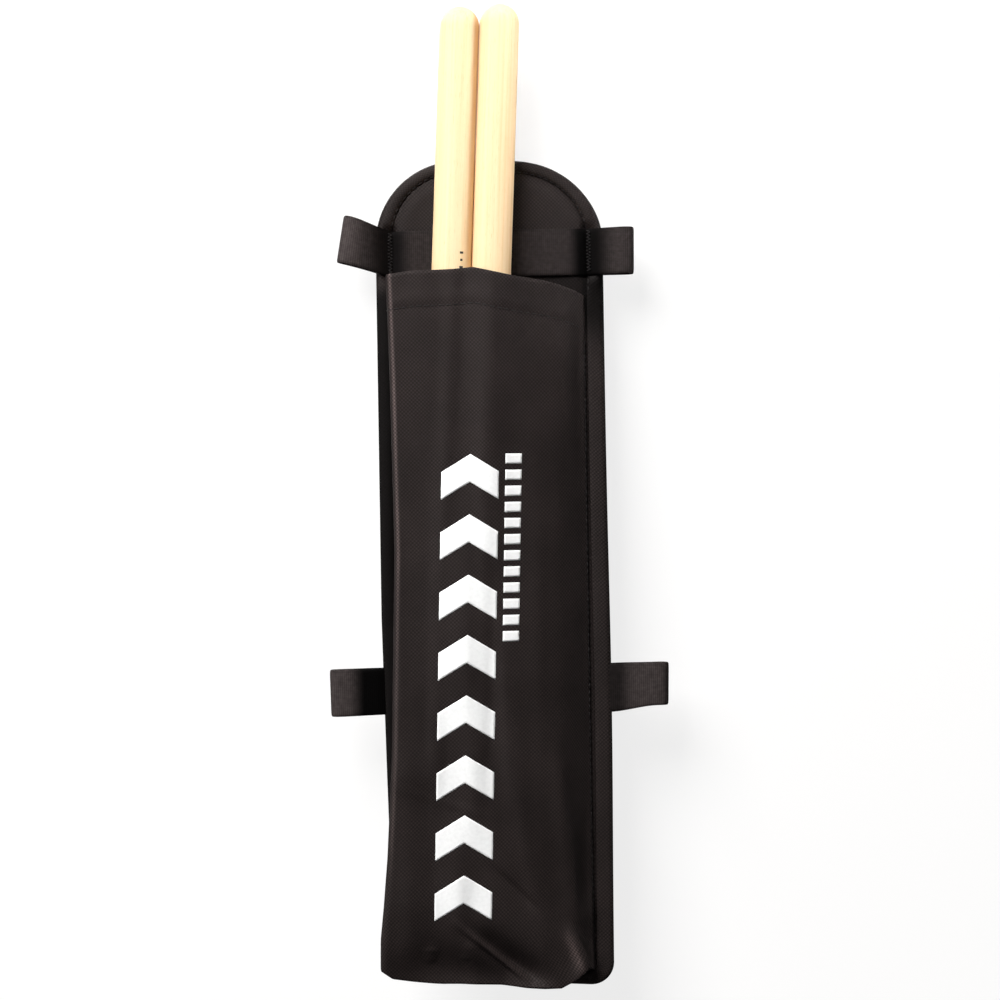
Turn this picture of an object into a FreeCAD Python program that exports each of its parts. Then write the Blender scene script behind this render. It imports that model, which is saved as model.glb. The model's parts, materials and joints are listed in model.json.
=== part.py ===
"""Marching drum stick bag with its pair of sticks, in millimetres.

The bag stands as it hangs on a drum: +Z up towards the pocket's mouth, the pocket on the -Y side.
The origin is the middle of the panel's back face, which lies in the plane Y = 0. The panel is two
cloths over a foam core, bound round its edge. The pocket is a front cloth, two gussets and a floor,
with a hem at its mouth. Two elastic bands cross the panel, one in front above the pocket's mouth and
one let in flush behind, and each ends on both sides in a loop that slips over a drum's tension rod.
"""
import FreeCAD
import Part

import math
import os

from FreeCAD import Vector

# Panel: a rounded plate of two cloths over foam, with a binding folded round its edge
PANEL_WIDTH = 104.8
PANEL_HEIGHT = 381.0
TOP_RADIUS = 38.0
BOTTOM_RADIUS = 11.0
CLOTH = 0.6
FOAM = 3.2
PANEL = FOAM + 2 * CLOTH
HALF_WIDTH = PANEL_WIDTH / 2
HALF_HEIGHT = PANEL_HEIGHT / 2
RIM_SIDE = 7.6
RIM_END = 5.8

# Thread: every row of stitching is sunk flush in the cloth that it holds
THREAD_WIDTH = 0.5
THREAD_DEPTH = 0.25
RIM_ROW = 0.6
FOOT_ROW = 1.2

# Elastic: its bands cross the panel, and each end is turned back and sewn as a second ply
ELASTIC_WIDTH = 21.4
ELASTIC = 1.1
UPPER_BAND_Z = 148.0
LOWER_BAND_Z = -53.4
TURNED_END = 8.4
TACK_INSET, TACK_WIDTH, TACK_DEPTH, TACK_MARGIN = 6.4, 2.2, 0.4, 1.2

# Loops: teardrops of elastic, each on the vertical line about which it folds beside the panel
NOSE_RADIUS = 1.25
NOSE_GAP = 0.35
ROUND_RADIUS = 4.6
HOLLOW_START, HOLLOW_NOSE = 2.6, 0.3
UPPER_LEFT_REACH, UPPER_LEFT_RISE, UPPER_LEFT_STEP = 16.0, 0.30, 1.6
UPPER_RIGHT_REACH = 14.0
LOWER_LEFT_REACH = 24.0
LOWER_RIGHT_REACH = 27.2

# Sticks: a pair of marching snare sticks, tip down, leaning a little to the right at the top
STICK_DIAMETER = 17.8
STICK_LENGTH = 435.0
STICK_GAP = 0.4
STICK_LEAN_DEG = 2.77
LEFT_TIP_Z, RIGHT_TIP_Z = -175.7, -174.7
STICKS_MIDDLE_X = -23.48
STICK_CLEARANCE = 0.6
TAPER_START = 95.0
NECK_RADIUS, NECK_AT = 4.6, 16.0
TIP_RADIUS = 5.8

# Pocket: its front stands off the panel by the sticks' thickness, and slopes back on the right
POCKET_CLOTH = 0.8
HEM_CLOTH = 0.6
HEM_HEIGHT = 18.4
HEM_ROW = 16.6
POCKET_ROOT_X = 43.4
POCKET_FOOT = -185.2
POCKET_FLOOR = -177.8
FLOOR_MARGIN = 0.1
BAND_MARGIN = 0.3
STICK_ROOM = STICK_DIAMETER + 2 * STICK_CLEARANCE
FRONT_Y = -(PANEL + ELASTIC + STICK_ROOM + HEM_CLOTH + POCKET_CLOTH)
FRONT_BEND_X = 14.0
RIGHT_FOLD_Y = -(PANEL + 4.6)
FOLD_X, FOLD_BULGE, FOLD_MIDDLE_Z, FOLD_SPAN = -44.6, 10.0, 20.0, 192.0
MOUTH_TOP, MOUTH_RIGHT, MOUTH_BEND_X = 138.4, 127.4, -4.0
SECTION_COUNT = 10

# Printed mark: a column of chevrons, and a column of short bars beside its upper half
INK = 0.1
MARK_LEAN_DEG = 1.8
MARK_X, MARK_TOP = -9.9, 54.9
CHEVRON_COUNT, CHEVRON_PITCH, CHEVRON_HALF = 8, 27.2, 13.0
CHEVRON_RISE, CHEVRON_THICK = 8.0, 12.6
BAR_COUNT, BAR_PITCH, BAR_X, BAR_WIDTH, BAR_TALL = 12, 7.3, 19.6, 7.4, 4.6


def save(shape, node):
    """Writes one sub-part, after checking that every solid in it is sound."""
    for solid in shape.Solids:
        if not solid.isValid() or solid.Volume <= 0:
            raise ValueError(f"{node} has a bad solid")
    if not shape.Solids:
        raise ValueError(f"{node} has no solid")
    shape.exportStep(f"parts/{node}.step")
    print(f"{node:24s} solids {len(shape.Solids):3d}  volume {shape.Volume:10.1f} mm3")


def block(x_low, x_high, y_low, y_high, z_low, z_high):
    return Part.makeBox(x_high - x_low, y_high - y_low, z_high - z_low, Vector(x_low, y_low, z_low))


def quarter(x_centre, z_centre, radius, middle_deg):
    """A quarter circle in the plane Y = 0, about the direction middle_deg."""
    points = []
    for degrees in (middle_deg - 45, middle_deg, middle_deg + 45):
        angle = math.radians(degrees)
        points.append(Vector(x_centre + radius * math.cos(angle), 0, z_centre + radius * math.sin(angle)))
    return Part.Arc(*points).toShape()


def rounded_outline(half_width, half_height, bottom_radius, top_radius):
    """A closed wire in the plane Y = 0: a rectangle with its own radius at the top and the bottom."""
    low_x, low_z = half_width - bottom_radius, half_height - bottom_radius
    high_x, high_z = half_width - top_radius, half_height - top_radius
    corners = [
        quarter(low_x, -low_z, bottom_radius, -45),
        quarter(high_x, high_z, top_radius, 45),
        quarter(-high_x, high_z, top_radius, 135),
        quarter(-low_x, -low_z, bottom_radius, 225),
    ]
    edges = []
    for corner, following in zip(corners, corners[1:] + corners[:1]):
        edges.append(corner)
        edges.append(Part.makeLine(corner.lastVertex().Point, following.firstVertex().Point))
    return Part.Wire(edges)


def slab(wire, y_back, y_front):
    """The wire's area filled from y_back forwards to y_front."""
    face = Part.Face(wire)
    face.translate(Vector(0, y_back, 0))
    return face.extrude(Vector(0, y_front - y_back, 0))


def panel_outline(inset):
    return rounded_outline(
        HALF_WIDTH - inset, HALF_HEIGHT - inset, BOTTOM_RADIUS - inset, TOP_RADIUS - inset
    )


def window_outline(grow):
    """The inner edge of the binding, grown outwards by grow."""
    return rounded_outline(
        HALF_WIDTH - RIM_SIDE + grow, HALF_HEIGHT - RIM_END + grow,
        BOTTOM_RADIUS - RIM_END + grow, TOP_RADIUS - RIM_SIDE + grow,
    )


def thread_ring(y_back, y_front):
    """One closed row of stitching beside the binding's inner edge."""
    outer = slab(window_outline(RIM_ROW + THREAD_WIDTH), y_back, y_front)
    return outer.cut(slab(window_outline(RIM_ROW), y_back, y_front))


def band_channel(grow):
    """The space of the lower band in the panel's back, grown by the thickness of cloth round it."""
    low, high = LOWER_BAND_Z - ELASTIC_WIDTH / 2 - grow, LOWER_BAND_Z + ELASTIC_WIDTH / 2 + grow
    across = block(-HALF_WIDTH, HALF_WIDTH, -ELASTIC - grow, 0, low, high)
    start = HALF_WIDTH - TURNED_END - grow
    right = block(start, HALF_WIDTH, -2 * ELASTIC - grow, 0, low, high)
    left = block(-HALF_WIDTH, -start, -2 * ELASTIC - grow, 0, low, high)
    return across.fuse([right, left]).removeSplitter()


def make_panel():
    """Back cloth, foam, face cloth and binding, with the binding's stitching front and back."""
    channel, lining = band_channel(0), band_channel(CLOTH)
    window = slab(window_outline(0), 0, -PANEL)
    foam = slab(panel_outline(CLOTH), -CLOTH, -CLOTH - FOAM).cut(lining)
    dip = lining.common(window)
    back = slab(window_outline(0), 0, -CLOTH).fuse(dip).cut(channel).removeSplitter()
    face = slab(window_outline(0), -CLOTH - FOAM, -PANEL)
    whole = slab(panel_outline(0), 0, -PANEL)
    binding = whole.cut(foam).cut(window).cut(channel)
    front_row = thread_ring(-PANEL + THREAD_DEPTH, -PANEL)
    back_row = thread_ring(0, -THREAD_DEPTH).cut(channel)
    binding = binding.cut(front_row).cut(back_row)
    save(back, "back_cloth")
    save(foam, "foam_core")
    save(face, "face_cloth")
    save(binding, "edge_binding")
    save(Part.makeCompound([*front_row.Solids, *back_row.Solids]), "binding_stitching")


def left_fold_x(z):
    """The pocket's left fold bows outwards, most of all at the bottom."""
    return FOLD_X - FOLD_BULGE * ((z - FOLD_MIDDLE_Z) / FOLD_SPAN) ** 2


def crossing(a, b):
    """Where two straight lines, each given by two points, cross."""
    (x1, y1), (x2, y2) = a
    (x3, y3), (x4, y4) = b
    d = (x1 - x2) * (y3 - y4) - (y1 - y2) * (x3 - x4)
    first, second = x1 * y2 - y1 * x2, x3 * y4 - y3 * x4
    return (first * (x3 - x4) - (x1 - x2) * second) / d, (first * (y3 - y4) - (y1 - y2) * second) / d


def pocket_corners(z, inset):
    """The five corners of the pocket's section at height z, moved inwards by inset."""
    outer = [
        (-POCKET_ROOT_X, -PANEL), (left_fold_x(z), FRONT_Y), (FRONT_BEND_X, FRONT_Y),
        (POCKET_ROOT_X, RIGHT_FOLD_Y), (POCKET_ROOT_X, -PANEL),
    ]
    moved = []
    for start, end in zip(outer, outer[1:]):
        length = math.dist(start, end)
        shift_x = inset * (start[1] - end[1]) / length
        shift_y = inset * (end[0] - start[0]) / length
        moved.append(((start[0] + shift_x, start[1] + shift_y), (end[0] + shift_x, end[1] + shift_y)))
    base = ((-HALF_WIDTH, -PANEL), (HALF_WIDTH, -PANEL))
    lines = [base, *moved, base]
    return [Vector(*crossing(a, b), z) for a, b in zip(lines, lines[1:])]


def wall(first, last, outer_inset, inner_inset):
    """A pocket wall from section corner first to corner last, between two insets."""
    wires = []
    for i in range(SECTION_COUNT):
        z = POCKET_FOOT + (MOUTH_TOP - POCKET_FOOT) * i / (SECTION_COUNT - 1)
        outer = pocket_corners(z, outer_inset)[first:last + 1]
        inner = pocket_corners(z, inner_inset)[first:last + 1]
        wires.append(Part.makePolygon([*outer, *reversed(inner), outer[0]]))
    return Part.makeLoft(wires, True, True)


def below_mouth(drop, height):
    """A block through the pocket, from drop below the mouth's slanted line down by height."""
    far = 2 * HALF_WIDTH
    slope = (MOUTH_TOP - MOUTH_RIGHT) / (POCKET_ROOT_X - MOUTH_BEND_X)
    top = [
        Vector(-far, 0, MOUTH_TOP - drop), Vector(MOUTH_BEND_X, 0, MOUTH_TOP - drop),
        Vector(far, 0, MOUTH_TOP - drop - slope * (far - MOUTH_BEND_X)),
    ]
    low = [point - Vector(0, 0, height) for point in reversed(top)]
    face = Part.Face(Part.makePolygon([*top, *low, top[0]]))
    return face.extrude(Vector(0, 2 * FRONT_Y, 0))


def make_pocket():
    """Front, gussets, floor, hem, and the stitching of the hem and of the gussets' feet."""
    whole = below_mouth(0, 2 * PANEL_HEIGHT)
    hem_row = wall(1, 3, 0, THREAD_DEPTH).common(below_mouth(HEM_ROW, THREAD_WIDTH))
    front = wall(1, 3, 0, POCKET_CLOTH).common(whole).cut(hem_row)
    hem = wall(1, 3, POCKET_CLOTH, POCKET_CLOTH + HEM_CLOTH).common(below_mouth(0, HEM_HEIGHT))
    foot = block(
        -HALF_WIDTH, HALF_WIDTH, -PANEL - FOOT_ROW - THREAD_WIDTH, -PANEL - FOOT_ROW,
        -HALF_HEIGHT, HALF_HEIGHT,
    )
    band_low = UPPER_BAND_Z - ELASTIC_WIDTH / 2 - BAND_MARGIN
    band_front = -PANEL - 2 * ELASTIC - BAND_MARGIN
    band_room = block(-HALF_WIDTH, HALF_WIDTH, band_front, -PANEL, band_low, HALF_HEIGHT)
    beside_band = whole.cut(band_room)
    rows = []
    gussets = []
    for first in (0, 3):
        row = wall(first, first + 1, 0, THREAD_DEPTH).common(foot).common(beside_band)
        gussets.append(wall(first, first + 1, 0, POCKET_CLOTH).common(beside_band).cut(row))
        rows.extend(row.Solids)
    corners = pocket_corners(POCKET_FLOOR, POCKET_CLOTH + FLOOR_MARGIN)
    floor = Part.Face(Part.makePolygon([*corners, corners[0]])).extrude(Vector(0, 0, -POCKET_CLOTH))
    save(front, "pocket_front")
    save(gussets[0], "pocket_left_gusset")
    save(gussets[1], "pocket_right_gusset")
    save(floor, "pocket_floor")
    save(hem, "mouth_hem")
    save(hem_row, "mouth_hem_stitching")
    save(Part.makeCompound(rows), "gusset_stitching")


def print_plate(points):
    """A film of ink on the pocket's flat front, from points of X and Z about the mark's top."""
    wire = Part.makePolygon([Vector(x, FRONT_Y, z) for x, z in [*points, points[0]]])
    plate = Part.Face(wire).extrude(Vector(0, -INK, 0))
    plate.rotate(Vector(0, 0, 0), Vector(0, 1, 0), MARK_LEAN_DEG)
    plate.translate(Vector(MARK_X, 0, MARK_TOP))
    return plate


def chevron(z_top):
    half, low, thick = CHEVRON_HALF, z_top - CHEVRON_RISE, CHEVRON_THICK
    return print_plate([
        (-half, low), (0, z_top), (half, low), (half, low - thick), (0, z_top - thick), (-half, low - thick),
    ])


def make_mark():
    plates = [chevron(-i * CHEVRON_PITCH) for i in range(CHEVRON_COUNT)]
    left, right = BAR_X - BAR_WIDTH / 2, BAR_X + BAR_WIDTH / 2
    for i in range(BAR_COUNT):
        high = -i * BAR_PITCH
        low = high - BAR_TALL
        plates.append(print_plate([(left, high), (right, high), (right, low), (left, low)]))
    save(Part.makeCompound(plates), "printed_mark")


def tack(side, y_low, z_middle):
    """The dense row of thread that holds a turned end, flush in the elastic's outer face."""
    middle = side * (HALF_WIDTH - TACK_INSET)
    half = ELASTIC_WIDTH / 2 - TACK_MARGIN
    return block(
        middle - TACK_WIDTH / 2, middle + TACK_WIDTH / 2, y_low, y_low + TACK_DEPTH,
        z_middle - half, z_middle + half,
    )


def make_bands():
    low, high = UPPER_BAND_Z - ELASTIC_WIDTH / 2, UPPER_BAND_Z + ELASTIC_WIDTH / 2
    face = -PANEL
    start = HALF_WIDTH - TURNED_END
    upper = block(-HALF_WIDTH, HALF_WIDTH, face - ELASTIC, face, low, high).fuse([
        block(start, HALF_WIDTH, face - 2 * ELASTIC, face - ELASTIC, low, high),
        block(-HALF_WIDTH, -start, face - 2 * ELASTIC, face - ELASTIC, low, high),
    ]).removeSplitter()
    upper_tacks = [tack(side, face - 2 * ELASTIC, UPPER_BAND_Z) for side in (-1, 1)]
    lower_tacks = [tack(side, -TACK_DEPTH, LOWER_BAND_Z) for side in (-1, 1)]
    save(upper.cut(upper_tacks), "upper_elastic_band")
    save(Part.makeCompound(upper_tacks), "upper_band_tacks")
    save(band_channel(0).cut(lower_tacks), "lower_elastic_band")
    save(Part.makeCompound(lower_tacks), "lower_band_tacks")


def teardrop(start, nose, middle, radius):
    """A closed outline about two circles on the X axis, in the plane Z = 0."""
    lean = (nose - radius) / (middle - start)
    up = math.sqrt(1 - lean * lean)
    nose_top, nose_low = (Vector(start + nose * lean, s * nose * up, 0) for s in (1, -1))
    end_top, end_low = (Vector(middle + radius * lean, s * radius * up, 0) for s in (1, -1))
    return Part.Wire([
        Part.makeLine(nose_top, end_top),
        Part.Arc(end_top, Vector(middle + radius, 0, 0), end_low).toShape(),
        Part.makeLine(end_low, nose_low),
        Part.Arc(nose_low, Vector(start - nose, 0, 0), nose_top).toShape(),
    ])


def rising_strip(reach, z_middle, rise):
    """The upright strip, as wide as the elastic, that a loop fills as it rises away from the panel."""
    half = ELASTIC_WIDTH / 2
    low = [Vector(-reach, -reach, -half - rise * reach), Vector(2 * reach, -reach, -half + 2 * rise * reach)]
    high = [point + Vector(0, 0, ELASTIC_WIDTH) for point in reversed(low)]
    strip = Part.Face(Part.makePolygon([*low, *high, low[0]])).extrude(Vector(0, 2 * reach, 0))
    strip.translate(Vector(0, 0, z_middle))
    return strip


def elastic_loop(side, axis_y, z_middle, reach, rise=0.0):
    """A hairpin of elastic beside the panel, open along Z, its nose round the line it folds about."""
    axis_x = HALF_WIDTH + NOSE_GAP + NOSE_RADIUS
    middle = HALF_WIDTH + reach - axis_x - ROUND_RADIUS
    outer = Part.Face(teardrop(0, NOSE_RADIUS, middle, ROUND_RADIUS))
    inner = Part.Face(teardrop(HOLLOW_START, HOLLOW_NOSE, middle, ROUND_RADIUS - ELASTIC))
    hairpin = outer.cut(inner)
    hairpin.translate(Vector(0, 0, z_middle - 2 * ELASTIC_WIDTH))
    hairpin = hairpin.extrude(Vector(0, 0, 4 * ELASTIC_WIDTH))
    loop = hairpin.common(rising_strip(reach, z_middle, rise))
    if side < 0:
        loop = loop.mirror(Vector(0, 0, 0), Vector(1, 0, 0))
    loop.translate(Vector(side * axis_x, axis_y, 0))
    return loop


def make_loops():
    upper_y, lower_y = -PANEL - ELASTIC, -ELASTIC
    root_z = UPPER_BAND_Z + UPPER_LEFT_STEP
    loops = {
        "upper_left_loop": elastic_loop(-1, upper_y, root_z, UPPER_LEFT_REACH, UPPER_LEFT_RISE),
        "upper_right_loop": elastic_loop(1, upper_y, UPPER_BAND_Z, UPPER_RIGHT_REACH),
        "lower_left_loop": elastic_loop(-1, lower_y, LOWER_BAND_Z, LOWER_LEFT_REACH),
        "lower_right_loop": elastic_loop(1, lower_y, LOWER_BAND_Z, LOWER_RIGHT_REACH),
    }
    for node, loop in loops.items():
        save(loop, node)


def smooth(points, start_slope, end_slope):
    """A curve through points of radius and height, with the given slopes of radius over height."""
    curve = Part.BSplineCurve()
    curve.interpolate(
        Points=[Vector(radius, 0, z) for radius, z in points],
        InitialTangent=Vector(start_slope, 0, 1), FinalTangent=Vector(end_slope, 0, 1),
    )
    return curve.toShape()


def straight(radius_1, z_1, radius_2, z_2):
    return Part.makeLine(Vector(radius_1, 0, z_1), Vector(radius_2, 0, z_2))


def stick():
    """A stick standing on its tip at the origin: oval tip, neck, long taper, shaft and rounded butt."""
    shaft = STICK_DIAMETER / 2
    shoulder = STICK_LENGTH - shaft
    slant = shaft * math.sqrt(0.5)
    top = Vector(0, 0, STICK_LENGTH)
    butt = Part.Arc(Vector(shaft, 0, shoulder), Vector(slant, 0, shoulder + slant), top)
    neck, shaft_start = (NECK_RADIUS, NECK_AT), (shaft, TAPER_START)
    half_way = (0.55 * (NECK_RADIUS + shaft), 0.5 * (NECK_AT + TAPER_START))
    bead = [(0, 0), (TIP_RADIUS * 0.72, 1.6), (TIP_RADIUS, 6.5), (TIP_RADIUS * 0.9, 11.5), neck]
    profile = Part.Wire([
        smooth(bead, 4.0, 0.0),
        smooth([neck, half_way, shaft_start], 0.0, 0.0),
        straight(shaft, TAPER_START, shaft, shoulder),
        butt.toShape(),
        straight(0, STICK_LENGTH, 0, 0),
    ])
    return Part.Face(profile).revolve(Vector(0, 0, 0), Vector(0, 0, 1), 360)


def make_sticks():
    apart = (STICK_DIAMETER + STICK_GAP) / 2 / math.cos(math.radians(STICK_LEAN_DEG))
    axis_y = -(PANEL + ELASTIC + STICK_ROOM / 2)
    for side, name, tip_z in ((-1, "left", LEFT_TIP_Z), (1, "right", RIGHT_TIP_Z)):
        one = stick()
        one.rotate(Vector(0, 0, 0), Vector(0, 1, 0), STICK_LEAN_DEG)
        one.translate(Vector(STICKS_MIDDLE_X + side * apart, axis_y, tip_z))
        save(one, f"{name}_stick")


os.makedirs("parts", exist_ok=True)
make_panel()
make_pocket()
make_mark()
make_bands()
make_loops()
make_sticks()
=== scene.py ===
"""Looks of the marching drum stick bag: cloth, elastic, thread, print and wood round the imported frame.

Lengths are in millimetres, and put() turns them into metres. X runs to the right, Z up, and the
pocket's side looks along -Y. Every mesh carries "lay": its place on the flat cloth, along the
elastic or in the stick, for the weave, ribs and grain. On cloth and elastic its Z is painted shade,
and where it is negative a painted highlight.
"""

import json
import math

import bmesh
import bpy
import numpy as np
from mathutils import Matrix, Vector, noise
from mathutils.bvhtree import BVHTree


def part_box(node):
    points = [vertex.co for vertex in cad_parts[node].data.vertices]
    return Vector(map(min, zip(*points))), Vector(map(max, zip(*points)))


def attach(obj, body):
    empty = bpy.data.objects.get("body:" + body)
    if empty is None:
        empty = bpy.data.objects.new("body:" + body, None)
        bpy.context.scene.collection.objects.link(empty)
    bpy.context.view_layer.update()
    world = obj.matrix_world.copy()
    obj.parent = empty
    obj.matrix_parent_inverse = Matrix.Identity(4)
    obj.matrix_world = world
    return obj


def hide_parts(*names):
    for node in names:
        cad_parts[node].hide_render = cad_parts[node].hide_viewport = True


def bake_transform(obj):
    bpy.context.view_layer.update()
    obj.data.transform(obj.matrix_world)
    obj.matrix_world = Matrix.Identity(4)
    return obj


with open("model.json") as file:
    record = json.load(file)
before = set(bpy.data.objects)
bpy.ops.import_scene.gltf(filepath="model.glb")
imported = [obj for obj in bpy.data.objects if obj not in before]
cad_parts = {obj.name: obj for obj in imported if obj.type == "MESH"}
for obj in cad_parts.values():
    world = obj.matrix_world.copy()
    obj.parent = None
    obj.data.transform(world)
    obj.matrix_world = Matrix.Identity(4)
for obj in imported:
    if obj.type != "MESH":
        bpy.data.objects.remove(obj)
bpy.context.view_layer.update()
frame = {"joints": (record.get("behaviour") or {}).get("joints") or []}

METRES = 0.001


# ---- places from the frame

def node_box(node):
    """Lowest and highest corner of a CAD node, in millimetres."""
    low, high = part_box(node)
    return np.array(low) / METRES, np.array(high) / METRES


binding_low, binding_high = node_box("edge_binding")
HALF_WIDTH, HALF_HEIGHT = binding_high[0], binding_high[2]
PANEL = -binding_low[1]
window_high = node_box("face_cloth")[1]
RIM_SIDE, RIM_END = HALF_WIDTH - window_high[0], HALF_HEIGHT - window_high[2]
TOP_RADIUS, BOTTOM_RADIUS = 38.0, 11.0

upper_low, upper_high = node_box("upper_elastic_band")
lower_low, lower_high = node_box("lower_elastic_band")
ELASTIC_WIDTH = upper_high[2] - upper_low[2]
UPPER_BAND_Z = (upper_low[2] + upper_high[2]) / 2
LOWER_BAND_Z = (lower_low[2] + lower_high[2]) / 2
ELASTIC = (upper_high[1] - upper_low[1]) / 2

left_low, left_high = node_box("left_stick")
STICK_RADIUS = (left_high[1] - left_low[1]) / 2
STICK_AXIS_Y = (left_high[1] + left_low[1]) / 2
STICK_LENGTH = 435.0
STICK_UP = np.array(next(j["axis"] for j in frame["joints"] if j["name"] == "left_stick_draw"))
STICK_RIGHT = np.array([STICK_UP[2], 0, -STICK_UP[0]])
STICK_SLOPE = STICK_UP[0] / STICK_UP[2]


def butt_centre(node):
    """The middle of the half ball that ends a stick's butt."""
    high = node_box(node)[1]
    return np.array([high[0] - STICK_RADIUS, STICK_AXIS_Y, high[2] - STICK_RADIUS])


# ---- meshes

def add_object(name, data):
    """A new object in the scene, for a mesh, a light or a camera."""
    item = bpy.data.objects.new(name, data)
    bpy.context.scene.collection.objects.link(item)
    return item


def put(name, points, faces, lay):
    """A smooth mesh object from points in millimetres, with their lay."""
    mesh = bpy.data.meshes.new(name)
    mesh.from_pydata([tuple(p) for p in np.asarray(points) * METRES], [], faces)
    attribute = mesh.attributes.new("lay", "FLOAT_VECTOR", "POINT")
    attribute.data.foreach_set("vector", np.asarray(lay, np.float32).ravel())
    work = bmesh.new()
    work.from_mesh(mesh)
    bmesh.ops.remove_doubles(work, verts=work.verts, dist=1e-7)
    bmesh.ops.recalc_face_normals(work, faces=work.faces)
    work.to_mesh(mesh)
    work.free()
    mesh.polygons.foreach_set("use_smooth", [True] * len(mesh.polygons))
    mesh.validate()
    mesh.update()
    return add_object(name, mesh)


def joined(*parts):
    """Arrays of one shape, and plain numbers, joined into one array of points."""
    return np.stack(np.broadcast_arrays(*parts), -1)


def grid_faces(rows, columns, start=0, closed_rows=False, closed_columns=False, flip=False):
    """Quads over a grid of points numbered row by row from start."""
    faces = []
    for r in range(rows if closed_rows else rows - 1):
        for c in range(columns if closed_columns else columns - 1):
            r2, c2 = (r + 1) % rows, (c + 1) % columns
            quad = [start + r * columns + c, start + r * columns + c2,
                    start + r2 * columns + c2, start + r2 * columns + c]
            faces.append(quad[::-1] if flip else quad)
    return faces


def grid_normals(points):
    """Unit normals of a grid of points, from its rows and columns."""
    across = np.gradient(points, axis=1)
    down = np.gradient(points, axis=0)
    normal = np.cross(across, down)
    size = np.linalg.norm(normal, axis=2, keepdims=True)
    return normal / np.maximum(size, 1e-9)


def put_pair(name, outer, inner, lay, faces):
    """A mesh of two grids of points that share their lay."""
    points = np.concatenate([outer.reshape(-1, 3), inner.reshape(-1, 3)])
    return put(name, points, faces, np.concatenate([lay.reshape(-1, 3)] * 2))


def shell(name, outer, inner, lay):
    """A closed sheet of cloth between two grids, joined all round their border."""
    rows, columns = outer.shape[:2]
    count = rows * columns
    faces = grid_faces(rows, columns) + grid_faces(rows, columns, count, flip=True)
    numbers = np.arange(count).reshape(rows, columns)
    border = np.concatenate([numbers[0], numbers[1:, -1], numbers[-1, -2::-1], numbers[-2:0:-1, 0]]).tolist()
    for a, b in zip(border, border[1:] + border[:1]):
        faces.append([b, a, a + count, b + count])
    return put_pair(name, outer, inner, lay, faces)


def ease(x, low, high):
    """0 below low and 1 above high, with a smooth rise between them."""
    t = np.clip((np.asarray(x, float) - low) / (high - low), 0, 1)
    return t * t * (3 - 2 * t)


def bump(x, middle, width):
    """A bell of height 1."""
    return np.exp(-(((np.asarray(x, float) - middle) / width) ** 2))


def ripple(x, z, seed, size):
    """A soft random field from about -1 to 1, with features of the given size."""
    flat = np.stack([np.ravel(x) / size, np.ravel(z) / size, np.full(np.size(x), float(seed))], 1)
    values = [noise.noise(Vector(p)) for p in flat]
    return np.reshape(values, np.shape(x)) * 1.6


def gauss_sum(padded, sigma, reach):
    """Sums along the first axis with Gaussian weights, which take reach rows off each end."""
    weights = np.exp(-0.5 * (np.arange(-reach, reach + 1) / sigma) ** 2)
    count = len(padded) - 2 * reach
    return sum(w * padded[i:i + count] for i, w in enumerate(weights / weights.sum()))


def blur_rows(points, sigma):
    """Points smoothed along the first axis by a Gaussian of sigma steps, with the ends kept."""
    reach = max(1, int(3 * sigma))
    head = 2 * points[:1] - points[1:reach + 1][::-1]
    tail = 2 * points[-1:] - points[-reach - 1:-1][::-1]
    out = gauss_sum(np.concatenate([head, points, tail]), sigma, reach)
    out[0], out[-1] = points[0], points[-1]
    return out


def softened(values, sigma):
    """Values smoothed along their first axis by a Gaussian of sigma steps, their ends repeated."""
    reach = int(4 * sigma)
    return gauss_sum(np.concatenate([values[:1]] * reach + [values] + [values[-1:]] * reach), sigma, reach)


def run_lengths(points):
    """Distance along a polyline, at each of its points."""
    return np.concatenate([[0], np.cumsum(np.linalg.norm(np.diff(points, axis=0), axis=1))])


def along(at, length, points):
    """The points at some distances along a polyline, from the distance of each of its own."""
    return np.stack([np.interp(at, length, column) for column in points.T], 1)


def resample(points, count):
    """The same polyline with count points, evenly spaced along it."""
    length = run_lengths(points)
    return along(np.linspace(0, length[-1], count), length, points)


def soft_path(corners, blur, count, fine=500):
    """A line of count points past some corners, rounded over about blur millimetres."""
    line = resample(np.array(corners, float), fine)
    step = run_lengths(line)[-1] / (fine - 1)
    return resample(blur_rows(line, blur / step), count)


# ---- materials

def new_material(name):
    """A material with nodes, and its node tree."""
    material = bpy.data.materials.new(name)
    material.use_nodes = True
    return material, material.node_tree


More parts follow.
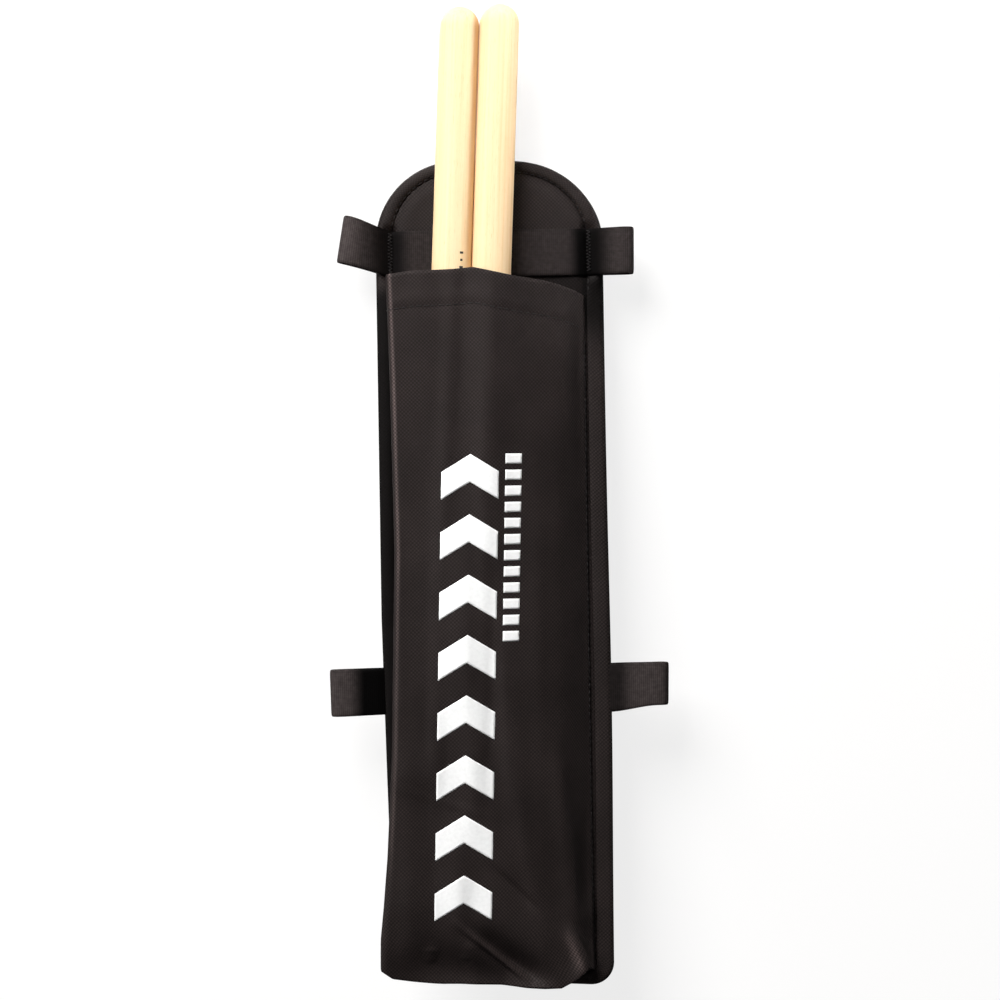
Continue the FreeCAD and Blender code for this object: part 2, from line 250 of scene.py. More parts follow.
class Nodes:
    """A material's node tree, with short ways to add and link its nodes."""

    def __init__(self, name):
        self.material, self.tree = new_material(name)
        self.shader = self.tree.nodes["Principled BSDF"]
        lay = self.add("ShaderNodeAttribute")
        lay.attribute_name = "lay"
        self.lay = lay.outputs["Vector"]
        split = self.add("ShaderNodeSeparateXYZ")
        self.link(self.lay, split.inputs[0])
        self.x, self.y, self.z = split.outputs

    def add(self, kind, **settings):
        node = self.tree.nodes.new(kind)
        for key, value in settings.items():
            setattr(node, key, value)
        return node

    def link(self, source, target):
        """Links a socket to its source, or sets it to a number."""
        if isinstance(source, (int, float)):
            target.default_value = source
        else:
            self.tree.links.new(source, target)

    def feed(self, node, **inputs):
        """Links or sets several of a node's inputs."""
        for name, value in inputs.items():
            self.link(value, node.inputs[name])

    def math(self, operation, a, b=0.0, c=0.0):
        node = self.add("ShaderNodeMath", operation=operation)
        for socket, value in zip(node.inputs, (a, b, c)):
            self.link(value, socket)
        return node.outputs[0]

    def wave(self, value, pitch, shift=0.0):
        """A sine of value with the given pitch in millimetres."""
        return self.math("SINE", self.math("MULTIPLY_ADD", value, 2 * math.pi / pitch, shift))

    def noise(self, scale, detail=3.0, stretch=(1, 1, 1)):
        """Noise over the lay, with features of about 1 / scale millimetres."""
        mapping = self.add("ShaderNodeMapping")
        mapping.inputs["Scale"].default_value = stretch
        self.link(self.lay, mapping.inputs["Vector"])
        node = self.add("ShaderNodeTexNoise")
        self.feed(node, Scale=scale, Detail=detail, Vector=mapping.outputs[0])
        return node.outputs["Fac"]

    def ramp(self, value, stops):
        node = self.add("ShaderNodeValToRGB")
        elements = node.color_ramp.elements
        while len(elements) < len(stops):
            elements.new(0.5)
        for element, (place, colour) in zip(elements, stops):
            element.position = place
            element.color = (*colour, 1)
        self.link(value, node.inputs[0])
        return node.outputs[0]

    def multiply(self, a, b, share=1.0):
        """Colour a multiplied by b, or by a share of it."""
        mix = self.add("ShaderNodeMix", data_type="RGBA", blend_type="MULTIPLY")
        self.feed(mix, Factor=share, A=a, B=b)
        return mix.outputs["Result"]

    def in_shade(self, colour):
        """Colour darkened by painted shade where the lay's Z is positive, and paled by a painted highlight
        where it is negative.
        """
        return self.multiply(colour, self.math("SUBTRACT", 1.0, self.z))

    def sheen_in_shade(self, level):
        """Specular level that falls towards half as the painted shade in the lay's Z rises to 1."""
        shaded = self.math("MAXIMUM", self.z, 0.0)
        falling = self.math("MULTIPLY_ADD", shaded, -0.5 * level, level)
        self.link(falling, self.shader.inputs["Specular IOR Level"])

    def crossing(self):
        """The Oxford weave's crossing threads, from -1 to 1."""
        return self.math("MULTIPLY", self.wave(self.x, WEAVE), self.wave(self.y, WEAVE))

    def relief(self, height, distance, strength=1.0):
        """Bump from a height of 0 to 1, over distance in millimetres."""
        node = self.add("ShaderNodeBump")
        self.feed(node, Strength=strength, Distance=distance * METRES, Height=height)
        self.link(node.outputs[0], self.shader.inputs["Normal"])

    def finish(self, colour, roughness, **constants):
        self.link(colour, self.shader.inputs["Base Color"])
        self.link(roughness, self.shader.inputs["Roughness"])
        for key, value in constants.items():
            self.shader.inputs[key.replace("_", " ")].default_value = value
        return self.material


def shade(colour, k):
    """Colour made k times as bright."""
    return tuple(min(1.0, c * k) for c in colour)


WEAVE, RIB, WARP, TWIST = 1.72, 0.92, 0.74, 0.5
SELVAGE = 1.2


def cloth_material(name, colour):
    """Oxford weave: plump threads that cross in diagonal rows of dots, dark between them."""
    m = Nodes(name)
    height = m.math("MULTIPLY_ADD", m.crossing(), 0.42, 0.5)
    patches = m.noise(0.03, 4.0)
    fuzz = m.noise(1.3, 2.0)
    tone = m.math("MULTIPLY_ADD", patches, 0.30, m.math("MULTIPLY", height, 0.48))
    tone = m.math("MULTIPLY_ADD", fuzz, 0.22, tone)
    m.relief(height, 0.16, 0.8)
    ramp = m.ramp(tone, [(0.24, shade(colour, 0.25)), (0.5, colour), (0.76, shade(colour, 2.3))])
    # Painted shade and painted highlight from the lay's Z scale the colour; the painted shade also lowers the
    # specular level.
    m.sheen_in_shade(0.18)
    return m.finish(m.in_shade(ramp), 0.6, Specular_Tint=(1, 0.92, 0.9, 1))


def elastic_material(name, colour):
    """Woven elastic: close ribs across the band, fine warp lines along it, dark selvages."""
    m = Nodes(name)
    rib = m.wave(m.x, RIB)
    warp = m.wave(m.y, WARP)
    height = m.math("MULTIPLY_ADD", rib, 0.2, m.math("MULTIPLY_ADD", warp, 0.1, 0.5))
    edge = m.math("ABSOLUTE", m.y)
    selvage = m.math("GREATER_THAN", edge, ELASTIC_WIDTH / 2 - SELVAGE)
    tone = m.math("MULTIPLY_ADD", m.noise(0.5, 3.0), 0.55, m.math("MULTIPLY", height, 0.45))
    tone = m.math("MULTIPLY_ADD", selvage, -0.12, tone)
    m.relief(height, 0.1, 0.7)
    ramp = m.ramp(tone, [(0.2, shade(colour, 0.5)), (0.5, colour), (0.8, shade(colour, 1.7))])
    # The lay's Z darkens the colour with painted shade, and pales it with a painted highlight where negative.
    return m.finish(m.in_shade(ramp), 0.6, Specular_IOR_Level=0.05, Specular_Tint=(1, 0.93, 0.93, 1))


def thread_material(name, colour):
    """Twisted sewing thread."""
    m = Nodes(name)
    twist = m.wave(m.math("MULTIPLY_ADD", m.x, 1.0, m.y), TWIST)
    height = m.math("MULTIPLY_ADD", twist, 0.5, 0.5)
    m.relief(height, 0.06, 0.8)
    ramp = m.ramp(height, [(0.0, shade(colour, 0.55)), (1.0, shade(colour, 1.4))])
    return m.finish(ramp, 0.6, Specular_IOR_Level=0.3)


def ink_material(name):
    """White screen ink, thick enough to cover but not to hide the weave."""
    m = Nodes(name)
    height = m.math("MULTIPLY_ADD", m.crossing(), 0.3, m.math("MULTIPLY", m.noise(1.5, 2.0), 0.6))
    m.relief(height, 0.05, 0.6)
    ramp = m.ramp(m.noise(0.6, 5.0), [(0.3, (0.91, 0.91, 0.90)), (0.6, (0.97, 0.97, 0.96))])
    return m.finish(ramp, 0.55, Specular_IOR_Level=0.4)


def wood_material(name):
    """Pale lacquered hickory: long fine grain, a few darker lines and short pores."""
    m = Nodes(name)
    broad = m.noise(0.16, 3.0, (1, 1, 0.035))
    lines = m.noise(1.1, 5.0, (1, 1, 0.012))
    pores = m.noise(4.5, 2.0, (1, 1, 0.05))
    tone = m.math("MULTIPLY_ADD", broad, 0.5, m.math("MULTIPLY", lines, 0.5))
    ramp = m.ramp(tone, [
        (0.3, (0.80, 0.52, 0.27)), (0.44, (0.86, 0.61, 0.35)), (0.56, (0.88, 0.65, 0.39)),
        (0.72, (0.90, 0.70, 0.45)),
    ])
    specks = m.ramp(pores, [(0.30, (0.80, 0.72, 0.60)), (0.40, (1, 1, 1))])
    m.relief(m.math("MULTIPLY_ADD", lines, 0.6, m.math("MULTIPLY", pores, 0.4)), 0.05, 0.35)
    roughness = m.math("MULTIPLY_ADD", lines, 0.14, 0.5)
    return m.finish(m.multiply(ramp, specks, 0.5), roughness, Specular_IOR_Level=0.3)


CLOTH = cloth_material("black_cloth", (0.0154, 0.0113, 0.0107))
RIM_CLOTH = cloth_material("black_binding_cloth", (0.0154, 0.0113, 0.0107))
LINING = cloth_material("black_back_cloth", (0.0154, 0.0123, 0.0118))
ELASTIC_BLACK = elastic_material("black_elastic", (0.0300, 0.0243, 0.0237))
THREAD = thread_material("black_thread", (0.0100, 0.0080, 0.0080))
INK = ink_material("white_ink")
MARKER = thread_material("dark_stamp", (0.03, 0.024, 0.02))
WOOD = wood_material("pale_hickory")


def dress(piece, material, slot, body, *nodes):
    """Gives a piece its material and its body and hides the CAD nodes it stands for; slot is not used."""
    piece.data.materials.append(material)
    if nodes:
        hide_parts(*nodes)
    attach(piece, body)
    return piece


# ---- panel

ARC_STEPS, SIDE_STEPS, END_STEPS = 24, 170, 44
# Across the binding, from 0 at its outer edge: the end of the round edge, the seam and the groove
ROUND_END, SEAM_AT, GROOVE_AT, GROOVE_WIDTH = 0.34, 0.93, 1.03, 0.13
ROLL_HEIGHT, GROOVE_DEPTH = 0.75, 0.75
TACK_X = HALF_WIDTH - 6.8
WINDOW_RINGS, WINDOW_START = 26, 1.02
COVER_THICK = 0.5


def ring(inset_x, inset_z):
    """The panel's outline moved inwards, counter-clockwise from the lower right corner's start."""
    w, h = HALF_WIDTH - inset_x, HALF_HEIGHT - inset_z
    low, high = BOTTOM_RADIUS - inset_z, TOP_RADIUS - inset_x
    corners = [(w - low, low - h, low, -90), (w - high, h - high, high, 0),
               (high - w, h - high, high, 90), (low - w, low - h, low, 180)]
    straight = [SIDE_STEPS, END_STEPS, SIDE_STEPS, END_STEPS]
    points = []
    for i, (x, z, radius, start) in enumerate(corners):
        angles = np.radians(np.linspace(start, start + 90, ARC_STEPS))
        arc = joined(x + radius * np.cos(angles), z + radius * np.sin(angles))
        x2, z2, radius2, start2 = corners[(i + 1) % 4]
        angle2 = math.radians(start2)
        following = np.array([x2 + radius2 * math.cos(angle2), z2 + radius2 * math.sin(angle2)])
        steps = np.linspace(0, 1, straight[i] + 2)[1:-1, None]
        points += [arc, arc[-1] + (following - arc[-1]) * steps]
    return np.concatenate(points)


def laid(flat):
    """Panel points as the real one lies: drawn in at its lower left, low at its upper right."""
    x, z = flat[..., 0], flat[..., 1]
    inward = ease(-x, 20, 50) * np.interp(z, [-190, -125, -90, -20], [3.0, 2.2, 1.4, 0.0])
    bulge = 0.9 * ease(x, 20, 50) * bump(z, -60, 80)
    raised = ease(-z, 100, 185) * np.interp(x, [-52, -20, 52], [4.6, 3.6, 0.0])
    lowered = ease(z, 135, 180) * np.interp(x, [8, 20, 32, 48], [0.0, 1.1, 1.7, 2.2])
    return joined(x + inward + bulge, z + raised - lowered)


def right_strip(x, z):
    """1 on the panel's right strip beside the pocket, where the real seam barely shows."""
    return ease(x, 38, 43) * (1 - ease(z, 126, 138))


def across_band(z, band_z, outside, inside):
    """1 across an elastic band, fading from inside its edge to outside it."""
    low, high = band_z - ELASTIC_WIDTH / 2, band_z + ELASTIC_WIDTH / 2
    return ease(z, low - outside, low + inside) * (1 - ease(z, high - inside, high + outside))


def pressed(x, z):
    """1 where the upper band's sewn ends hold the rim down, 0 away from them."""
    over = ease(np.abs(x), HALF_WIDTH - 11.5, HALF_WIDTH - 8.0)
    return over * across_band(z, UPPER_BAND_Z, 2.4, 0.6)


def under_band(z):
    """1 under the lower band, 0 away from it."""
    return across_band(z, LOWER_BAND_Z, 1.6, 0.4)


def painted_shade_beside_pocket(x, z):
    """How much shade is painted on the panel beside the pocket and above its mouth, up to the elastic."""
    left = 0.92 * ease(-x, 40, 44) * (1 - ease(z, 127, 136))
    right = ease(x, 40, 43) * (0.12 + 0.78 * ease(z, 96, 122))
    gap = (0.2 + 0.5 * ease(x, 12, 28)) * ease(z, 110, 122)
    under_elastic = 1 - ease(z, 138, 144)
    return np.maximum(left, np.maximum(right, gap) * under_elastic + 0.2 * (1 - under_elastic))


def rim_round(across):
    """How far the binding has turned its outer edge and how high its roll is, both up to 1."""
    edge = (1 - (1 - np.clip(across / ROUND_END, 0, 1)) ** 2.3) ** (1 / 2.3)
    return edge, np.sin(np.pi * np.clip((across - 0.05) / 0.95, 0, 1)) ** 0.8


def rim_front(x, z, across):
    """Y of the binding's front, from the outer edge (across 0) to the groove (across 1)."""
    edge, roll = rim_round(across)
    seam = ROLL_HEIGHT * roll - GROOVE_DEPTH * bump(across, GROOVE_AT, GROOVE_WIDTH)
    depth = PANEL / 2 + (PANEL / 2) * edge + (1 - 0.8 * right_strip(x, z)) * seam
    depth += 0.14 * ripple(x, z, 3, 16) * roll
    return -depth + 2.3 * pressed(x, z) * ease(across, 0.25, 0.75)


def rim_back(x, z, across):
    """Y of the binding's back, from the outer edge (across 0) to the groove (across 1)."""
    edge, roll = rim_round(across)
    y = -PANEL / 2 + (PANEL / 2) * edge + 0.12 * roll - 0.5 * bump(across, GROOVE_AT, GROOVE_WIDTH)
    return y - (2 * ELASTIC - 0.15) * under_band(z) * ease(across, 0.0, 0.2)


def make_binding():
    """The padded roll of cloth folded round the panel's edge, closed behind the stitched grooves."""
    fractions = np.concatenate([
        np.linspace(1.04, 0.8, 8), np.linspace(0.75, 0.4, 8),
        ROUND_END * (1 - np.linspace(0, 1, 9)[:-1]) ** 1.6,
    ])
    rings, lay = [], []
    travelled = run_lengths(ring(0, 0))
    for surface, order, sign in ((rim_front, fractions, -1), (rim_back, fractions[::-1], 1)):
        for across in order:
            x, z = laid(ring(RIM_SIDE * across, RIM_END * across)).T
            rings.append(joined(x, surface(x, z, across), z))
            # The lay's Z is the painted shade beside the pocket and above its mouth.
            lay.append(joined(travelled, sign * across * RIM_SIDE, painted_shade_beside_pocket(x, z)))
    points = np.array(rings)
    rows, columns = points.shape[:2]
    faces = grid_faces(rows, columns, closed_rows=True, closed_columns=True, flip=True)
    piece = put("edge_binding_roll", points.reshape(-1, 3), faces, np.array(lay).reshape(-1, 3))
    return dress(piece, RIM_CLOTH, "cloth", "bag", "edge_binding")


def window_grid():
    """Rings of points from the binding's inner edge in to the panel's middle line."""
    outer = ring(RIM_SIDE * WINDOW_START, RIM_END * WINDOW_START)
    spine = HALF_HEIGHT - HALF_WIDTH
    middle = joined(0.0, np.clip(outer[:, 1], -spine, spine))
    even = np.linspace(0, 1, WINDOW_RINGS)
    shares = (1 - np.cos(even * math.pi / 2)) * 0.6 + even * 0.4
    return np.array([outer + (middle - outer) * s for s in shares])


def cover(name, depth_at, flip, material, nodes):
    """One face of the panel inside its binding, as a sheet of cloth."""
    flat = laid(window_grid())
    x, z = flat[..., 0], flat[..., 1]
    front = joined(x, depth_at(x, z, np.linalg.norm(flat - flat[0], axis=2)), z)
    back = front + np.array([0, COVER_THICK if flip else -COVER_THICK, 0])
    # On the front cloth the lay's Z is the painted shade beside the pocket and above its mouth.
    lay = joined(x, z, painted_shade_beside_pocket(x, z) if flip else 0.0)
    rows, columns = x.shape
    count = rows * columns
    faces = grid_faces(rows, columns, closed_columns=True, flip=flip)
    faces += grid_faces(rows, columns, count, closed_columns=True, flip=not flip)
    for c in range(columns):
        quad = [c, (c + 1) % columns, (c + 1) % columns + count, c + count]
        faces.append(quad if flip else quad[::-1])
    return dress(put_pair(name, front, back, lay, faces), material, "cloth", "bag", *nodes)


def front_depth(x, z, from_edge):
    """Y of the panel's front cloth, at a distance from its sewn edge."""
    crown = 0.55 * ease(from_edge, 0, 6)
    crown = crown - 2.2 * pressed(x, z) * (1 - ease(from_edge, 0, 5))
    return -(PANEL - 0.55 + crown) - 0.16 * ripple(x, z, 11, 26) * ease(from_edge, 2, 10)


def back_depth(x, z, from_edge):
    """Y of the panel's back cloth, at a distance from its sewn edge."""
    crown = -0.35 + 0.35 * ease(from_edge, 0, 5)
    waves = 0.08 * (1 + ripple(x, z, 17, 30)) * ease(from_edge, 2, 9)
    return crown - (ELASTIC + 0.1) * under_band(z) - waves


def make_panel():
    make_binding()
    front = cover("panel_front_cloth", front_depth, True, CLOTH, ("face_cloth", "foam_core"))
    cover("panel_back_cloth", back_depth, False, LINING, ("back_cloth",))


# ---- stitches

STITCH_SIDES, STITCH_RINGS = 8, 7
STITCH_ARCH, STITCH_SINK = 0.55, 0.25


def stitches(name, path, outward, pitch, length, thickness, nodes=(), closed=False):
    """A row of separate stitches along a path, each an arched bead whose ends dive into the cloth."""
    if closed:
        path = np.concatenate([path, path[:1]])
        outward = np.concatenate([outward, outward[:1]])
    travelled = run_lengths(path)
    count = max(1, int(round(travelled[-1] / pitch)))
    middles = (np.arange(count) + 0.5) * travelled[-1] / count
    points, faces, lay = [], [], []
    for k, middle in enumerate(middles):
        place = np.linspace(-0.5, 0.5, STITCH_RINGS) * length
        at = np.clip(middle + place, 0, travelled[-1])
        spine, out = along(at, travelled, path), along(at, travelled, outward)
        out /= np.linalg.norm(out, axis=1, keepdims=True)
        tangent = np.gradient(spine, axis=0)
        tangent /= np.maximum(np.linalg.norm(tangent, axis=1, keepdims=True), 1e-9)
        side = np.cross(tangent, out)
        arch = 1 - (2 * place / length) ** 2
        spine = spine + out * (thickness * (STITCH_ARCH * arch - STITCH_SINK))[:, None]
        radius = 0.5 * thickness * np.sqrt(np.clip(1 - (2 * place / length) ** 4, 0.04, 1))
        start = len(points)
        for r in range(STITCH_RINGS):
            for a in range(STITCH_SIDES):
                angle = 2 * math.pi * a / STITCH_SIDES
                points.append(spine[r] + radius[r] * (math.cos(angle) * side[r] + math.sin(angle) * out[r]))
                lay.append((at[r], a * 0.2, k * 3.1))
        faces += grid_faces(STITCH_RINGS, STITCH_SIDES, start, closed_columns=True)
        faces.append([start + a for a in range(STITCH_SIDES)][::-1])
        last = start + (STITCH_RINGS - 1) * STITCH_SIDES
        faces.append([last + a for a in range(STITCH_SIDES)])
    return dress(put(name, points, faces, lay), THREAD, "thread", "bag", *nodes)


def make_binding_stitches():
    """The rows in the grooves, in front and behind."""
    x, z = laid(ring(RIM_SIDE * SEAM_AT, RIM_END * SEAM_AT)).T
    front = joined(x, rim_front(x, z, SEAM_AT) - 0.1 + 0.55 * right_strip(x, z), z)
    back = joined(x, rim_back(x, z, SEAM_AT) + 0.1, z)
    for side, path, out, nodes in (("front", front, -1.0, ("binding_stitching",)), ("back", back, 1.0, ())):
        outward = np.tile([0.0, out, 0.0], (len(x), 1))
        stitches(f"binding_stitches_{side}", path, outward, 3.3, 2.6, 0.5, nodes, closed=True)


# ---- pocket

SECTION_POINTS = 230
POCKET_ROWS, FOOT_ROWS, FLOOR_ROWS = 230, 26, 26
CLOTH_THICK = 0.75
HEM_EXTRA = 0.65
HEM_HEIGHT = 17.2
HEM_STITCH = 15.8
ROOT_Y = -PANEL + 0.1
FLOOR_Z = -182.4
ROOT_X = 43.4


def left_fold(z):
    """X of the pocket's left fold: it leans in below the mouth and bulges out at the foot."""
    heights = [-182, -164, -150, -127, -81, 11, 90, 127, 141]
    places = [-54.6, -54.0, -52.4, -50.3, -47.6, -45.0, -45.9, -46.8, -47.2]
    return np.interp(z, heights, places)


def foot_z(x):
    """Height of the pocket's foot below each X of its front."""
    return np.interp(x, [-54, -50, -41, -27, 0, 12, 20, 28, 34, 41, 44],
                     [-181.0, -184.0, -185.4, -186.9, -188.2, -189.6, -190.2, -190.2, -187.0, -181.5, -183.0])


def mouth_z(x):
    """Height of the pocket's mouth above each X of its front."""
    return np.interp(x, [-48, -36, -16, -7.4, 1.6, 9.7, 24.6, 32, 39, 43.4],
                     [136.0, 137.6, 138.3, 139.1, 137.1, 135.5, 133.2, 131.5, 129.1, 127.0])


# How far the front stands off the panel's back, across LOFT_X at each height of LOFT_Z
LOFT_X = [-47, -41, -30, -18, -12, -4, 2, 10, 20, 30, 37, 43]
LOFT_Z = [-184, -170, -150, -105, -40, 50, 136]
LOFT = [
    [18.9, 19.1, 20.0, 18.1, 19.5, 19.3, 18.5, 20.2, 19.5, 16.6, 15.5, 8.0],
    [24.6, 25.0, 23.4, 24.9, 26.0, 23.1, 22.6, 21.6, 20.4, 15.2, 8.4, 5.8],
    [27.4, 27.7, 24.8, 25.4, 22.6, 23.2, 22.6, 21.4, 17.6, 12.8, 9.3, 5.4],
    [26.9, 26.4, 23.9, 23.9, 25.0, 23.8, 23.7, 23.9, 21.9, 17.0, 11.2, 5.2],
    [26.8, 25.8, 25.2, 27.0, 27.2, 24.2, 24.1, 23.1, 21.8, 17.1, 11.0, 5.2],
    [26.7, 25.9, 25.1, 24.8, 24.6, 25.4, 24.7, 21.3, 19.1, 15.6, 10.8, 5.2],
    [27.1, 26.9, 26.5, 25.1, 24.7, 25.4, 24.9, 22.9, 19.0, 14.3, 9.8, 5.4],
]
# Folds: start and end in X and Z, width, height, and how much wider their lower side is
FOLDS = [
    (-19, -158, 12.5, -186, 1.5, 2.6, 0.6),
    (-15.5, -160, 24, -189, 6.3, -4.0, 0.7),
    (2.8, -97, 12, -154, 4.3, -1.5, 1.4),
    (3.5, -18, 6.7, -128, 7.4, 1.0, 0.5),
    (49, -106, 42, -166, 10.2, 3.3, 2.0),
    (26, -73, 42, -205, 4.3, 2.6, 1.4),
    (33, -162, 51, -196, 1.7, 4.0, 2.7),
    (-47, -88, -26, -91, 12.1, 0.8, 0.7),
    (-51, -94, -1, -110, 1.5, 0.3, 0.7),
    (-3.5, -131, 18, -153, 1.3, -1.2, 2.0),
    (-38, -172, 17, -189, 12.1, -4.0, 0.9),
    (38, 121, 56, 55, 10.0, 2.4, 2.5),
]
FOLD_SHOULDER, RIGHT_SHOULDER = 2.8, 1.5
# Radius of each stick's bead, neck and shaft at a few heights above its tip
STICK_HEIGHTS, STICK_RADII = [-0.8, 0.7, 6.2, 16.2, 95.2], [0, 3.5, 5.8, 4.6, 8.9]


def crease(x, z, x0, z0, x1, z1, width, height, ratio):
    """A fold between two points, with its own width on each side, that fades at both ends."""
    length = math.hypot(x1 - x0, z1 - z0)
    run_x, run_z = (x1 - x0) / length, (z1 - z0) / length
    share = ((x - x0) * run_x + (z - z0) * run_z) / length
    off = (z - z0) * run_x - (x - x0) * run_z
    spread = np.where(off > 0, width, width * ratio)
    ends = ease(share, -0.15, 0.3) * (1 - ease(share, 0.7, 1.15))
    return height * ends * np.exp(-((off / spread) ** 2))


LOFT_STEP = 1.5
LOFT_COLUMNS, LOFT_ROWS = np.arange(-60, 50.1, 1.0), np.arange(-192, 146.1, LOFT_STEP)


def loft_grid():
    """The loft's sections joined smoothly, on LOFT_ROWS by LOFT_COLUMNS."""
    across = np.array([np.interp(LOFT_COLUMNS, LOFT_X, row) for row in LOFT])
    full = np.array([np.interp(LOFT_ROWS, LOFT_Z, column) for column in across.T]).T
    return softened(softened(full, 3.0).T, 1.8).T


LOFT_HEIGHTS = loft_grid()


def over_sticks(x, z):
    """The least height of the front over the two sticks, with room for the cloth itself."""
    least = np.full(np.shape(x), 5.0)
    for node in ("left_stick", "right_stick"):
        centre = butt_centre(node)
        tip_z = centre[2] - (STICK_LENGTH - STICK_RADIUS) * STICK_UP[2]
        radius = np.interp(z - tip_z, STICK_HEIGHTS, STICK_RADII) + 1.5 * ease(z - tip_z, -2.6, -0.6)
        aside = x - centre[0] - (z - centre[2]) * STICK_SLOPE
        bead = np.sqrt(np.clip(radius ** 2 - aside ** 2, 0, None))
        least = np.maximum(least, -STICK_AXIS_Y + bead - 3.0 * np.clip(np.abs(aside) - radius, 0, None))
    return least


def loft_height(x, z):
    """How far the pocket's front stands off the panel's back, without its finest ripples."""
    column = np.clip(x - LOFT_COLUMNS[0], 0, len(LOFT_COLUMNS) - 1.001)
    row = np.clip((z - LOFT_ROWS[0]) / LOFT_STEP, 0, len(LOFT_ROWS) - 1.001)
    c, r = column.astype(int), row.astype(int)
    u, v = column - c, row - r
    low = LOFT_HEIGHTS[r, c] * (1 - u) + LOFT_HEIGHTS[r, c + 1] * u
    high = LOFT_HEIGHTS[r + 1, c] * (1 - u) + LOFT_HEIGHTS[r + 1, c + 1] * u
    height = low * (1 - v) + high * v
    folds = sum(crease(x, z, *fold) for fold in FOLDS)
    height = height + folds * (1 - 0.85 * ease(x, 34, 41) * ease(z, -160, -142))
    least = over_sticks(x, z)
    return least + 0.5 * np.logaddexp(0, (height - least) / 0.5)


def front_height(x, z):
    """How far the pocket's front stands off the panel's back."""
    return loft_height(x, z) + 0.10 * ripple(x, z, 5, 30) + 0.05 * ripple(x, z * 0.6, 6, 9)


def section(z):
    """The pocket's outline at height z, from its left root round the front to its right root."""
    left = float(left_fold(z))
    x = np.linspace(left + FOLD_SHOULDER, ROOT_X - RIGHT_SHOULDER, 46)
    height = loft_height(x, np.full(len(x), z))
    first, last = height[0], height[-1]
    left_side = [
        (-ROOT_X, ROOT_Y), (left + 0.5, -0.45 * first), (left, -0.7 * first), (left, FOLD_SHOULDER - first),
        (left + 0.29 * FOLD_SHOULDER, 0.29 * FOLD_SHOULDER - first),
    ]
    right_side = [(ROOT_X - 0.35 * RIGHT_SHOULDER, 0.5 * RIGHT_SHOULDER - last), (ROOT_X, ROOT_Y)]
    return soft_path(np.concatenate([left_side, joined(x, -height), right_side]), 0.55, SECTION_POINTS, 900)


def pocket_surface():
    """The pocket's outer cloth as a grid: the floor's rows first, then up the front to the mouth."""
    share = np.concatenate([
        np.linspace(0, 0.06, FOOT_ROWS, endpoint=False), np.linspace(0.06, 1, POCKET_ROWS - FOOT_ROWS),
    ])
    heights = np.linspace(-190, 144, 140)
    sections = np.array([section(z) for z in heights])
    low, high = foot_z(sections[5, :, 0]), mouth_z(sections[-4, :, 0])
    low = low + 0.4 * ease(-np.arange(SECTION_POINTS), -24, -6)
    front = np.zeros((POCKET_ROWS, SECTION_POINTS, 3))
    for c in range(SECTION_POINTS):
        z = low[c] + (high[c] - low[c]) * share
        front[:, c, 0] = np.interp(z, heights, sections[:, c, 0])
        front[:, c, 1] = np.interp(z, heights, sections[:, c, 1])
        front[:, c, 2] = z
    x, z = front[..., 0], front[..., 2]
    hem = bump(mouth_z(x) - z, HEM_STITCH, 0.9) * -0.3 + bump(mouth_z(x) - z, HEM_STITCH - 4, 3.2) * 0.15
    inside = ease(x, left_fold(z) + 0.7 * FOLD_SHOULDER, left_fold(z) + 1.5 * FOLD_SHOULDER)
    inside = inside * (1 - ease(x, ROOT_X - 1.8 * RIGHT_SHOULDER, ROOT_X - RIGHT_SHOULDER))
    short = -front_height(x, z) - hem - front[..., 1]
    front[..., 1] += inside * short * (np.abs(short) < 3.0)
    base = joined(np.linspace(-ROOT_X + 0.2, ROOT_X - 0.6, SECTION_POINTS), ROOT_Y, FLOOR_Z)
    floor = []
    for t in np.linspace(1, 0, FLOOR_ROWS, endpoint=False):
        row = front[0] + (base - front[0]) * t
        row[:, 2] += (4.2 + 0.5 * ripple(row[:, 0], row[:, 1], 8, 12)) * math.sin(math.pi * t)
        floor.append(row)
    whole = np.concatenate([np.array(floor), front])
    rounded = blur_rows(whole, 2.2)
    near_foot = bump(np.arange(len(whole)), FLOOR_ROWS, 9)[:, None, None]
    return whole * (1 - near_foot) + rounded * near_foot


def pocket_lay(surface):
    """Flat coordinates of the cloth, with a painted highlight along its left fold and on two creases at the
    foot.
    """
    middle = SECTION_POINTS // 2
    u = np.array([run_lengths(row) for row in surface])
    u = u - u[:, middle:middle + 1]
    x, y, z = surface[..., 0], surface[..., 1], surface[..., 2]
    v = z.copy()
    below = np.array([run_lengths(surface[FLOOR_ROWS::-1, c]) for c in range(SECTION_POINTS)]).T[::-1]
    v[:FLOOR_ROWS + 1] = z[FLOOR_ROWS] - below
    # Painted highlight: the colour is paled along the left fold's shoulder and on two creases at the foot.
    edge = bump(x, left_fold(z) + 1.9, 0.62) * (y < -14) * (0.4 + 0.6 * ease(z, -60, 60))
    painted_highlight = 3.6 * edge * ease(z, -150, -100)
    painted_highlight += 2.0 * crease(x, z, 30.5, -163, 38.5, -183, 1.4, 1.0, 1.8)
    painted_highlight += 0.8 * crease(x, z, -15, -160, 14, -186, 0.8, 1.0, 1.0)
    return joined(u, v, -painted_highlight)


